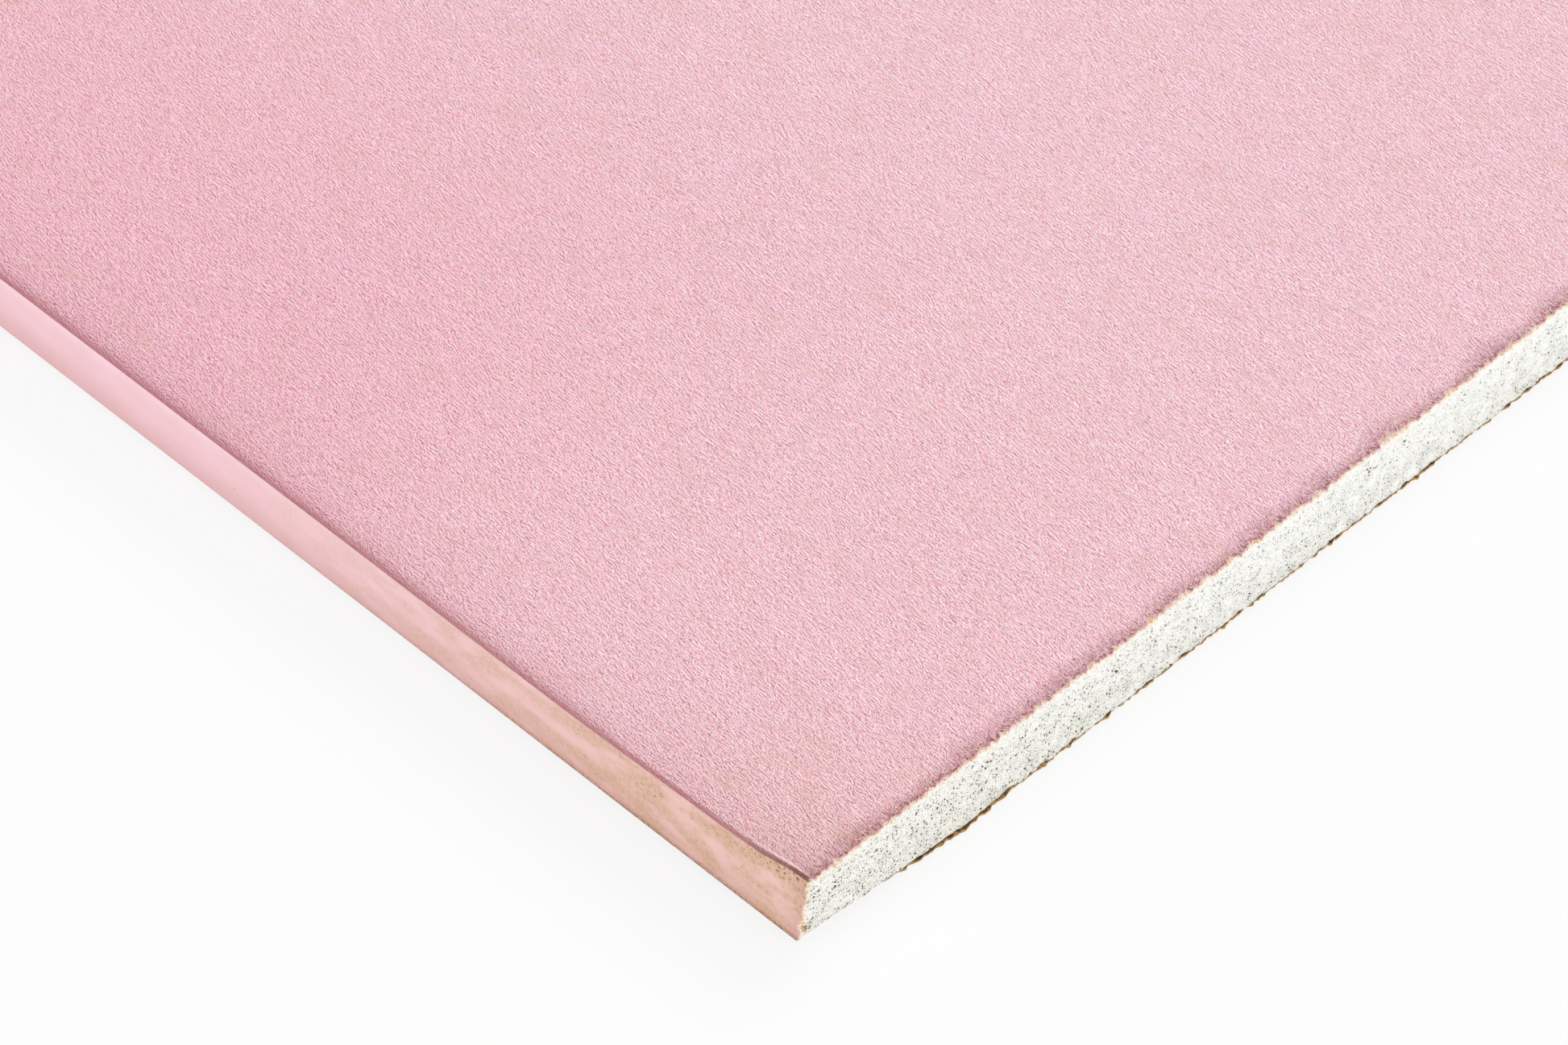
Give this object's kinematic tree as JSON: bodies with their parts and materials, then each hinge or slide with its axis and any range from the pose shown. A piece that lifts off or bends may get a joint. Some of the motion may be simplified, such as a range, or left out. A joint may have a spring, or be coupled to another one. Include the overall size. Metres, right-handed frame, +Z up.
{
  "type": "drywall sheet",
  "caption": "Flat gypsum drywall sheet with a pink paper face, square paper-wrapped long edges, brown paper back and bare sawn ends, for lining walls and ceilings.",
  "frame": {"origin": "middle of the back, on the plane that the sheet rests on", "axes": "+X along the paper-wrapped long edges, +Y across the width, +Z up out of the pink face"},
  "size_m": [2.4, 1.2, 0.0125],
  "materials": {
    "gypsum": "sawn, porous, matt",
    "face_paper": "pink fibrous paper, matt",
    "back_paper": "brown recycled paper, matt"
  },
  "bodies": {
    "root": {"gypsum_core": "gypsum", "face_paper": "face_paper", "back_paper": "back_paper"}
  },
  "joints": []
}
